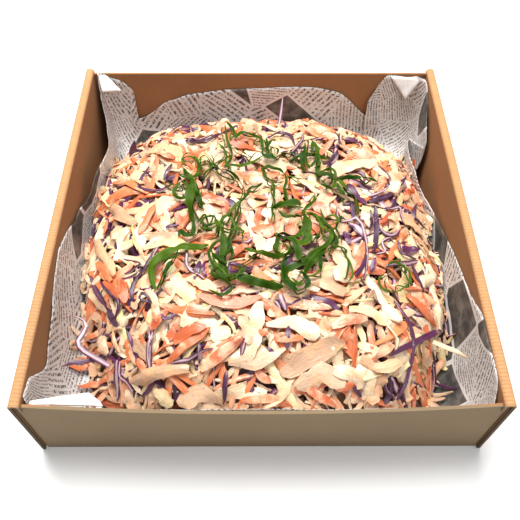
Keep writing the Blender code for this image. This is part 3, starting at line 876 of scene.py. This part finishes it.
# The strands. Each is its width, and then x and y in turn along its centre line as seen from
# above, in millimetres.
ONION_STRANDS = [
    (1.6, -45, 34, -46, 38, -45, 42, -42, 44, -39, 42, -37, 38, -36, 33, -36, 28, -37, 25, -39,
     24, -42, 27, -46, 32), (3.2, -44, 29, -42, 24, -40, 21, -38, 17),
    (1.1, -35, 24, -33, 24, -31, 26, -29, 29, -29, 34, -31, 38, -33, 39, -35, 37, -34, 31, -31,
     26), (1.6, -35, 33, -31, 34, -28, 32, -25, 28, -22, 26, -18, 24, -15, 20),
    (1.6, -22, 26, -18, 24, -14, 20, -11, 16, -9, 11, -10, 6),
    (1.4, -22, 72, -21, 63, -20, 54, -18, 47, -17, 41, -17, 36, -19, 31, -22, 28),
    (1.7, -21, 72, -18, 66, -16, 58, -15, 54, -12, 59, -8, 59, -3, 57, 0, 53, 1, 46, 1, 40),
    (1.6, -18, 44, -13, 42, -9, 40, -5, 37),
    (1.1, -25, 48, -22, 43, -20, 39, -20, 32, -18, 27, -17, 24),
    (0.7, -21, 43, -21, 37, -23, 33, -25, 31), (1.4, -18, 29, -13, 30, -7, 33, -3, 36, 1, 39),
    (0.7, -29, 39, -27, 34, -28, 29, -31, 25), (2.4, -54, 21, -49, 18, -44, 19, -40, 14),
    (1.7, -45, 18, -47, 14, -48, 10, -46, 7, -43, 6, -41, 8, -41, 14),
    (4.2, -39, 22, -38, 13, -39, 8, -39, 2, -38, -4, -36, -9),
    (2.6, -37, -6, -36, -13, -37, -17, -40, -17, -43, -15, -44, -18),
    (2.6, -37, 17, -36, 10, -34, 5, -32, 0),
    (1.6, -10, 7, -14, 2, -18, -3, -21, -7, -23, -13, -24, -17, -26, -19),
    (1.9, -11, 5, -12, 1, -13, -4, -15, -10, -16, -16, -17, -21, -16, -27, -15, -31, -17, -35),
    (0.8, -14, 2, -14, -4, -15, -10), (2.6, -25, -7, -23, -13, -24, -18),
    (3.7, -21, -15, -20, -22, -20, -29, -20, -36, -19, -41, -16, -44, -11, -45),
    (3.7, -16, -43, -11, -45, -6, -46, -2, -47, 3, -49, 7, -50, 11, -50),
    (1.4, -33, -11, -31, -7, -27, -6, -24, -8), (0.9, -33, -9, -29, -11, -25, -11),
    (1.1, -33, -12, -31, -14, -28, -13), (1.2, -23, -14, -18, -16, -14, -16, -9, -16),
    (1.1, -21, -8, -18, -7, -15, -10, -14, -13, -11, -15, -10, -19, -9, -22),
    (1.5, -21, -24, -25, -25, -27, -29, -27, -32, -25, -37, -23, -40, -21, -44, -17, -46, -13,
     -44), (1.2, -26, -30, -23, -33, -19, -34, -17, -30, -16, -26),
    (1.1, -25, -32, -21, -36, -18, -39),
    (1.4, -21, -40, -24, -41, -25, -44, -22, -46, -19, -47, -16, -50, -15, -53, -18, -55, -21,
     -55, -25, -53), (1.6, -14, -41, -11, -38, -7, -35, -4, -31, -2, -29),
    (1.6, -12, -45, -9, -42, -9, -38),
    (3.9, -28, -25, -31, -26, -35, -26, -40, -25, -44, -27, -48, -29, -51, -31, -54, -34, -56,
     -38, -56, -42, -55, -47, -53, -51),
    (2.1, -52, -52, -51, -48, -50, -44, -48, -40, -46, -36, -44, -33, -43, -29),
    (1.2, -51, -37, -48, -35, -45, -34, -43, -33), (1.4, 3, 50, 4, 44, 3, 37),
    (1.6, 7, 50, 4, 45, 3, 40), (2.6, 0, 40, 2, 37, 5, 36, 9, 36, 12, 39, 16, 40, 20, 42),
    (1.1, 6, 37, 6, 42, 8, 43, 10, 41, 9, 37),
    (1.4, 15, 34, 18, 36, 21, 39, 25, 42, 30, 42, 35, 41, 38, 40, 41, 38),
    (3.2, 26, 50, 25, 42, 24, 36, 24, 30), (3.2, 28, 52, 27, 43, 26, 34, 28, 29),
    (2.1, 30, 52, 32, 48, 33, 41, 33, 34, 32, 28, 33, 24), (1.1, 30, 50, 30, 44, 29, 37),
    (1.8, 33, 40, 31, 33, 28, 29), (0.8, 23, 31, 24, 27, 25, 24),
    (1.4, 13, 23, 11, 26, 7, 27, 4, 29, 1, 28, 1, 26, 2, 22, 6, 19, 9, 18, 13, 19),
    (1.5, 13, 23, 14, 18, 13, 13, 14, 8, 15, 4), (0.7, 14, 20, 18, 20, 23, 18),
    (1.2, 6, 18, 7, 13, 7, 7, 6, 1, 6, -4, 5, -9), (1.2, 1, 18, -2, 15, -6, 14, -8, 9, -11, 5),
    (1.5, 33, 22, 35, 26, 39, 28, 42, 26, 42, 21, 41, 17, 38, 15, 35, 16),
    (2.1, 32, 23, 37, 24, 41, 21), (0.9, 33, 16, 37, 14, 40, 12),
    (2.6, 67, 24, 61, 25, 55, 25, 49, 23, 43, 21),
    (4.2, 44, 22, 47, 17, 50, 13, 53, 8, 53, 3, 53, -2), (2.1, 43, 19, 44, 13, 47, 11),
    (3.2, 6, -1, 10, 1, 15, 4, 19, 5, 22, 3), (0.9, 10, -2, 12, 0, 16, 1, 20, 0, 23, -1),
    (1.5, 9, -2, 12, -6, 14, -7, 18, -6, 22, -3), (1.1, 30, 9, 28, 3, 24, -2, 23, -6),
    (2.4, 22, -2, 24, -8, 23, -14, 20, -18, 15, -18, 11, -16, 8, -18, 8, -23, 7, -27, 9, -31, 12,
     -32, 15, -29, 15, -25, 13, -21, 9, -23), (1.6, 24, -4, 28, -6, 31, -8),
    (4.2, 23, -6, 25, -11, 24, -17, 24, -21, 20, -24, 16, -21),
    (1.5, 32, -1, 33, -6, 34, -10, 37, -13, 39, -17, 40, -21, 39, -24, 36, -26),
    (1.4, 35, -5, 39, -5, 41, -7, 41, -10, 38, -12, 34, -11),
    (1.9, 27, -4, 31, -9, 33, -13, 36, -16, 37, -20, 35, -24, 32, -27),
    (3.2, 37, -13, 37, -19, 34, -24, 30, -27, 26, -30, 24, -34, 20, -36, 16, -38, 13, -39, 12,
     -43, 14, -47, 17, -49), (2.6, 35, -23, 32, -28, 29, -32, 26, -36, 23, -40, 21, -45),
    (1.9, 32, -28, 30, -33, 30, -38, 30, -42), (0.8, 30, -41, 28, -44, 25, -46, 22, -46),
    (2.9, 13, -20, 16, -23, 18, -28, 19, -32, 19, -36),
    (2.4, -9, -27, -4, -29, 0, -30, 3, -31, 8, -32, 12, -33),
    (2.6, 15, -34, 12, -35, 11, -38, 11, -43, 12, -48, 15, -51, 18, -54, 22, -52, 23, -49, 21,
     -45, 18, -44), (1.8, 15, -47, 18, -50, 21, -50),
    (0.8, 38, -24, 41, -27, 43, -30, 45, -34, 46, -39, 46, -44, 43, -48),
    (1.7, 32, -14, 30, -18, 27, -22), (1.1, 39, -14, 41, -19, 39, -24),
    (1.1, 30, -6, 33, -10, 36, -12, 37, -14), (1.2, 64, -38, 61, -41, 61, -45, 63, -48, 66, -48),
    (1.1, 65, -36, 68, -34, 72, -34, 76, -36, 77, -39, 76, -44, 72, -48, 68, -50, 65, -50),
]


def onion_finish():
    """Fresh green spring onion with fine lengthwise stripes and paler rims."""
    onion = Finish("spring onion", {"Specular IOR Level": 0.12})
    tone, _, across = onion.parts(onion.attribute("piece"))
    base = tone.between(linear(24, 56, 3), linear(76, 102, 6))
    rim = across.math("ABSOLUTE", across - 0.5).step(0.25, 0.5)
    base = (rim * 0.35).between(base, linear(98, 124, 20))
    stripe = onion.streaks(9)
    base = (stripe.step(0.42, 0.62) * 0.55).between(base, linear(18, 46, 2))
    return onion.surface(base, stripe * 0.2 + 0.42, stripe, 0.00012)


def in_pairs(line):
    return list(zip(line[::2], line[1::2]))


def drawn_path(points):
    """A path through points given in millimetres."""
    line = smooth_curve([Vector((x, y, 0)) * MM for x, y in points], 8, False)
    px, py = np.array([p.x for p in line]), np.array([p.y for p in line])
    return px, py, np.concatenate([[0], np.cumsum(np.hypot(np.diff(px), np.diff(py)))])


def lay_strand(kind, heights, ceiling, points, width):
    """Lay one spring onion curl along its centre line."""
    lay_shred(
        kind, heights, drawn_path(points), width * 1.15 * MM, 0.4 * MM, 22,
        (rng.random(), rng.random()), ceiling=ceiling, roll=rng.normal(0, 0.45),
        crown=rng.uniform(-0.1, 0.2), curl=0.3, ragged=0.25, pointed=0.85, sink=-2.6,
    )


# The pieces that stand out on top of the heap, by kind, in the order in which they are laid,
# written like the strands.
PLACED = {
    "cabbage_leaves": [
        (9.6, 42, 30, 50, 37, 59, 41, 68, 40), (8.0, -60, -15, -46, -18, -33, -15),
        (10.5, 14, -49, 29, -46, 42, -53), (8.4, -63, -22, -51, -18, -40, -24),
        (9.0, -39, -70, -31, -64, -22, -73), (6.0, -11, -65, -7, -73, -5, -80),
        (8.6, -1, -57, -3, -73, -8, -88), (8.0, 2, -70, 18, -68, 27, -76),
        (9.4, 9, -93, 22, -85, 40, -79), (6.8, -16, -88, -3, -87, 11, -81),
        (10.0, 16, -98, 27, -93, 40, -96), (7.8, -35, -89, -52, -88, -65, -89),
        (8.6, -41, -101, -30, -99, -19, -103), (7.0, 43, -62, 56, -63, 64, -67),
        (5.4, 48, -85, 56, -89, 69, -84), (7.4, 52, -102, 58, -95),
        (6.0, -23, -52, -32, -46, -38, -43), (8.0, -9, 46, 3, 37, 14, 29),
        (6.6, -7, -2, -3, -15, 2, -23, 8, -17), (10.4, 38, -15, 43, -32, 39, -46),
        (9.4, -70, 53, -55, 52, -47, 39), (7.0, -88, 15, -69, -6),
        (5.6, -96, -1, -84, -24, -77, -37), (7.8, 86, -79, 81, -73), (7.0, -24, -78, -16, -71),
        (6.4, -53, -94, -44, -101), (7.0, 33, -90, 43, -93, 49, -96), (6.4, -65, -58, -59, -51),
        (6.0, 76, 5, 84, 2, 92, -3), (4.2, 56, 2, 58, -3, 60, -9),
        (4.4, -94, -34, -89, -43, -82, -52), (4.6, -92, -48, -86, -54, -88, -58),
        (6.2, -86, -62, -83, -67, -80, -73), (6.8, -64, -72, -59, -77, -56, -83),
    ],
    "carrot_sticks": [
        (5.2, 27, 68, 35, 62, 42, 58), (7.4, -33, 14, -25, 7, -18, 2), (6.3, -16, -1, -9, -6),
        (7.3, -1, -11, 8, -13), (6.2, 14, -9, 19, -17), (7.4, 30, 6, 36, -4),
        (4.9, -50, -57, -38, -62, -24, -65), (4.5, -71, -41, -71, -52), (4.0, -55, -69, -47, -60),
        (5.7, -43, -77, -36, -73, -27, -71), (4.8, -29, -92, -21, -85, -11, -78),
        (5.4, -31, -55, -15, -59, 0, -54), (5.3, 34, -71, 42, -68, 52, -66),
        (4.4, 21, -98, 27, -101, 35, -104), (3.8, 35, -98, 45, -96), (4.1, -10, -103, 8, -102),
        (3.5, 7, -78, 20, -76), (4.4, -3, -91, 4, -96), (4.1, 46, -45, 53, -26),
        (4.1, 75, -49, 83, -55, 92, -59), (4.3, -90, 38, -74, 25, -64, 16),
        (5.1, -63, 50, -51, 42), (4.9, 29, 70, 40, 56), (5.3, -19, 54, 1, 43),
        (5.0, -91, -21, -79, -39), (4.1, 67, 1, 76, 0), (4.2, 87, -79, 88, -90),
        (4.0, -67, -73, -62, -83), (4.4, -66, -13, -59, 6), (5.7, -44, 28, -34, 19),
        (4.2, 54, -85, 64, -78), (6.4, -33, 8, -26, 7, -19, 5), (7.6, -5, -9, 1, -12, 7, -15),
        (3.0, -52, -57, -38, -62, -23, -65), (4.2, -46, -85, -36, -79, -25, -72),
        (4.8, -29, -91, -19, -85, -10, -78), (4.4, 55, -20, 52, -28, 49, -35, 43, -44),
        (3.6, 81, -4, 78, -10, 75, -17), (2.4, 73, 4, 70, 0, 66, -5),
        (3.6, 89, 28, 86, 23, 83, 17), (3.4, -96, -57, -90, -58, -83, -59),
        (4.2, -84, -37, -78, -43, -74, -49), (4.2, -73, -40, -71, -46, -70, -53),
        (4.2, -55, -51, -53, -60, -52, -66), (3.8, -68, -71, -66, -80), (3.8, -62, -80, -57, -88),
    ],
    "cabbage_shreds": [
        (2.1, -71, -65, -76, -64, -75, -70, -72, -75),
        (2.2, -62, -84, -66, -86, -64, -90, -60, -94), (2.6, 85, -5, 90, -11, 95, -17),
    ],
    "red_cabbage_shreds": [
        (2.9, -94, -28, -89, -39, -85, -45, -82, -50), (3.2, -81, -51, -77, -58, -73, -64),
        (1.9, -86, -37, -80, -44, -75, -49, -74, -54, -76, -57),
        (1.5, -97, -57, -92, -60, -86, -62, -82, -59),
        (3.0, -74, -77, -74, -83, -74, -88, -75, -93),
        (1.9, -72, -79, -72, -85, -68, -88, -65, -92),
        (2.2, -68, -67, -65, -73, -63, -78, -62, -83),
        (1.7, -67, -43, -67, -49, -65, -54, -61, -56, -61, -52, -58, -53, -55, -57),
        (1.7, -56, -68, -55, -76, -55, -82, -55, -88),
        (1.7, -50, -60, -49, -64, -46, -65, -42, -62), (3.2, 62, -83, 79, -72, 97, -57),
        (1.8, 68, -52, 74, -64, 76, -75, 72, -90, 67, -98), (4.6, 49, 22, 53, 17, 59, 8),
        (3.6, 61, 10, 67, 13, 74, 18, 80, 26, 86, 34), (1.5, 61, 14, 67, 17, 74, 23),
        (1.5, 70, 40, 75, 33, 76, 25), (1.6, 69, 6, 74, 8, 78, 17),
        (1.5, 71, 6, 78, 8, 79, 4, 80, 0), (2.0, 94, 24, 90, 15, 88, 7, 95, 6),
        (2.6, 65, -8, 68, -12, 73, -11, 77, -6), (1.4, 70, -14, 65, -18, 66, -24, 61, -26),
        (1.6, 74, -16, 75, -23, 78, -25, 84, -24), (3.8, 76, -20, 81, -20, 87, -17),
        (2.8, 65, -34, 71, -32, 78, -30, 85, -25), (1.4, 80, -29, 83, -35, 85, -39, 86, -43),
        (2.2, 55, -29, 52, -36, 48, -42), (2.6, 60, -29, 57, -37), (2.8, 51, 8, 51, 2, 51, -4),
        (3.2, 45, -12, 47, -21), (4.9, 48, -6, 52, -8, 56, -14),
        (2.8, 64, 8, 64, -1, 62, -15, 59, -27), (1.9, 61, 4, 61, -4, 59, -11),
        (2.0, 42, 4, 42, -3, 46, -6, 51, -3, 55, -7, 56, -14, 56, -24, 55, -33, 53, -42),
        (2.0, -44, -86, -35, -85, -24, -82), (2.3, 13, -70, 12, -82), (3.0, 9, -53, 12, -61),
        (2.0, -30, -79, -30, -88), (2.5, -17, -91, -18, -103), (2.2, -8, -77, -10, -85),
        (1.9, -56, -24, -60, -34, -66, -44, -65, -54, -56, -57),
        (2.3, -54, -70, -56, -79, -55, -87), (2.8, -32, -33, -34, -45), (2.0, 2, -81, 7, -84),
        (2.3, 43, -95, 48, -100), (2.5, -46, 60, -33, 56, -25, 62),
        (2.0, -39, -25, -39, -33, -37, -38, -33, -42, -29, -45),
        (1.7, -29, -33, -30, -39, -28, -44), (1.8, -52, -9, -49, -8, -45, -7),
        (2.2, -55, -23, -56, -29, -57, -34), (1.8, -52, 37, -54, 32, -56, 26),
        (1.8, -66, 38, -69, 30, -70, 22, -65, 18, -57, 17, -50, 22),
        (1.9, 3, 58, 9, 63, 13, 65, 18, 59, 20, 51), (1.7, 26, 63, 24, 54, 17, 42),
        (1.6, 32, 56, 36, 57, 41, 59), (2.0, 46, 49, 41, 41, 39, 32),
        (2.4, -46, 62, -42, 61, -37, 57, -30, 63), (2.6, 52, 61, 58, 60, 62, 56),
    ],
}
# Pieces that stand up from the heap or reach over the liner: each has its width and its
# centre line with heights.
STANDING = {
    "red_cabbage_shreds": [
        (2.3, [(11, 79, 36), (13, 88, 43), (14.5, 98, 50)]),
        (5.0, [(-79, 59, 28), (-80, 62, 35), (-78, 64, 43)]),
        (2.8, [
            (-76, -83, 33), (-83, -79, 33), (-91, -74, 33), (-94, -69, 33), (-91, -62, 33),
            (-93, -57, 34), (-99, -55, 34)]),
        (2.2, [(-84, -78, 30), (-90, -79, 30), (-96, -80, 30), (-101, -82, 30)]),
    ],
    "cabbage_shreds": [
        (2.6, [(-27, 67, 42), (-25, 73, 48), (-21, 75, 50), (-17, 70, 43)]),
        (2.2, [(88, -7, 33), (92, -13, 34), (97, -18, 35), (100, -23, 34)]),
        (2.4, [(88, -70, 33), (93, -74, 35), (98, -77, 36), (103, -81, 36)]),
    ],
    "cabbage_leaves": [
        (6.0, [(-10, 65, 43), (-6, 72, 50), (-2, 71, 44)]),
    ],
}


def stand_shred(kind, points, width):
    """Wrap one shred around a line that leaves the heap, tapering to its far end."""
    line = smooth_curve([Vector(p) * MM for p in points], 8, False)
    centre = np.array([p[:] for p in line])
    tangent = np.gradient(centre, axis=0)
    tangent /= np.linalg.norm(tangent, axis=1)[:, None]
    steep = abs(line[-1].z - line[0].z) > 5 * MM
    level_up = np.tile([0.0, -0.3, 0.95], (len(line), 1))
    up = np.cross(tangent, (1.0, 0.15, 0.0)) if steep else level_up
    up -= tangent * (up * tangent).sum(1)[:, None]
    up /= np.linalg.norm(up, axis=1)[:, None]
    u = np.linspace(-1, 1, len(centre))
    ends = width / 2 * MM * (1 - 0.85 * np.clip(u, 0, 1) ** 1.6)
    thick = np.full(len(centre), 0.6 * MM)
    kind.add(
        centre, np.cross(up, tangent), up, ends, ends, thick, 0.15, 0.1 * u, (0.6, rng.random())
    )


# Putting it together ---------------------------------------------------------------------


def build_stage():
    bm = bmesh.new()
    bmesh.ops.create_grid(bm, x_segments=1, y_segments=1, size=3)
    bmesh.ops.translate(bm, vec=(0, 0, -0.2 * MM), verts=bm.verts)
    pale = Finish("pale table", {"Roughness": 0.9})
    add_piece("table", bm, pale.surface((0.9, 0.9, 0.9, 1.0)), smooth=False)


CAMERA_PLACE = (-2.5, -217.25, 320.5)  # in millimetres
CAMERA_PITCH, CAMERA_YAW, CAMERA_ROLL = 55.381, -0.533, 0.371  # in degrees
SENSOR = 36.0  # in millimetres
FOCAL_LENGTH, FIELD_WIDTH = 626.34, 520  # the view's width at that distance


def build_camera():
    """A camera in front of the box, tilted steeply down onto it."""
    pitch, yaw, roll = (math.radians(angle) for angle in (CAMERA_PITCH, CAMERA_YAW, CAMERA_ROLL))
    data = bpy.data.cameras.new("camera")
    data.sensor_width, data.lens = SENSOR, SENSOR * FOCAL_LENGTH / FIELD_WIDTH
    camera = bpy.data.objects.new("camera", data)
    bpy.context.scene.collection.objects.link(camera)
    camera.location = [place * MM for place in CAMERA_PLACE]
    turn = Matrix.Rotation(yaw, 4, "Z") @ Matrix.Rotation(math.pi / 2 - pitch, 4, "X")
    camera.rotation_euler = (turn @ Matrix.Rotation(roll, 4, "Z")).to_euler()
    bpy.context.scene.camera = camera


# The area lights: each has its place, its width in metres, its power in watts and its colour.
LIGHTS = {
    "overhead": ((-0.1, 0.3, 0.95), 0.7, 21.5, (1.0, 0.985, 0.96)),
    "fill": ((0.4, -0.6, 0.9), 0.9, 4.2, (0.97, 0.98, 1.0)),
}
LIGHT_AIM = (0, 0, 0.03)
WORLD_STRENGTH = 0.31


def add_area_light(name, place, size, power, colour):
    data = bpy.data.lights.new(name, "AREA")
    data.shape, data.size, data.energy, data.color = "SQUARE", size, power, colour
    light = bpy.data.objects.new(name, data)
    bpy.context.scene.collection.objects.link(light)
    light.location = place
    light.rotation_euler = (Vector(LIGHT_AIM) - Vector(place)).to_track_quat("-Z", "Y").to_euler()


def build_light():
    for name, values in LIGHTS.items():
        add_area_light(name, *values)
    world = bpy.data.worlds.new("studio")
    world.use_nodes = True
    background = world.node_tree.nodes["Background"].inputs
    background["Color"].default_value = (1.0, 1.0, 1.0, 1.0)
    background["Strength"].default_value = WORLD_STRENGTH
    bpy.context.scene.world = world
    bpy.context.scene.view_settings.view_transform = "Standard"


LEAST_HEAP = 1.5 * MM  # the heap ends where it is thinner than this over the liner
OVERHANG = 5 * MM  # shreds may lie this far past that edge
WALL_GAP = 1.5  # millimetres to keep free along the walls
LINER_OVER_HEAP = 12 * MM  # nothing is laid where the liner rises further than this over it
LOWERING = 0.8 * MM  # of the heap's surface, for the thickness of the shreds
ON_TOP = 2.5 * MM  # how far the pieces that stand out may rise over the heap's surface


def main():
    build_camera()
    build_light()
    build_stage()

    box = bpy.data.objects["box"]
    kraft = kraft_finish()
    for slot in box.material_slots:
        slot.material = kraft

    printed, plain = printed_finish(), plain_side_finish()
    liner = build_liner(printed)
    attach(liner, "root")
    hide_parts("paper_liner")
    for name, corners in FOLDED_TIPS.items():
        tip = build_tip(name, corners, plain)
        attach(tip, "root")

    core = build_core(core_finish())
    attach(core, "root")
    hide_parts("coleslaw")

    liner_mesh, core_mesh = bmesh.new(), bmesh.new()
    liner_mesh.from_mesh(liner.data)
    core_mesh.from_mesh(core.data)
    mound, paper, heights = map(heights_from, (merged_copy("coleslaw"), liner_mesh, core_mesh))
    inside = mound.grid > paper.grid + LEAST_HEAP
    target, reach = mound.grid.copy(), inside.copy()
    for _ in range(int(OVERHANG / Heights.CELL)):
        for shift, axis in ((1, 0), (-1, 0), (1, 1), (-1, 1)):
            reach |= np.roll(reach, shift, axis)
    places = mound.places()
    away = np.abs(places)
    off_walls = np.outer(away < (SIDE - WALL_GAP) * MM, away < (END - WALL_GAP) * MM)
    reach &= off_walls & (paper.grid < target + LINER_OVER_HEAP)
    target += np.array([[lump_at(x, y) for y in places] for x in places]) - LOWERING
    heights.grid = np.maximum(heights.grid, paper.grid)

    cabbage = cabbage_finish()
    finishes = {
        "cabbage_shreds": cabbage, "cabbage_leaves": cabbage, "carrot_sticks": carrot_finish(),
        "red_cabbage_shreds": red_cabbage_finish(), "cabbage_bits": cabbage,
    }
    kinds = {name: Kind(name, finishes[name], *TEMPLATES[name]) for name in RECIPES}
    lay_heap(kinds, heights, np.maximum(target, paper.grid), inside, reach)
    edge = inside & ~np.roll(inside, 1, 0) | inside & ~np.roll(inside, -1, 0)
    clear = off_walls & (paper.grid < STRAY_TOP) & (places < STRAY_BACK)[None, :]
    lay_strays(kinds, heights, edge & clear, clear, np.maximum(target, paper.grid) + 1.5 * MM)
    for name, pieces in PLACED.items():
        for width, *line in pieces:
            lay_shred(
                kinds[name], heights, drawn_path(in_pairs(line)), width * MM, 1.1 * MM,
                RECIPES[name]["stiffness"], (rng.uniform(0.2, 0.85), rng.random()),
                ceiling=target + ON_TOP, crown=rng.normal(0, 0.15), curl=0.4,
                ragged=RECIPES[name]["ragged"], sink=-0.2,
            )
    for name, pieces in STANDING.items():
        for width, points in pieces:
            stand_shred(kinds[name], points, width)
    for kind in kinds.values():
        piece = kind.build()
        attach(piece, "root")

    curls = Kind("spring_onion_curls", onion_finish(), 40, 2)
    for width, *line in ONION_STRANDS:
        points = in_pairs(line)
        stray = rng.normal(0, 1.4, (len(points), 2)) + rng.normal(0, 1.0, 2)
        lay_strand(curls, heights, target + 5 * MM, points + stray, rng.uniform(0.5, 1.1))
        lay_strand(curls, heights, target + 6 * MM, points, width)
    garnish = curls.build()
    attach(garnish, "root")
    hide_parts(*(n for n in frame["nodes"] if n.startswith("spring_onion")))


main()
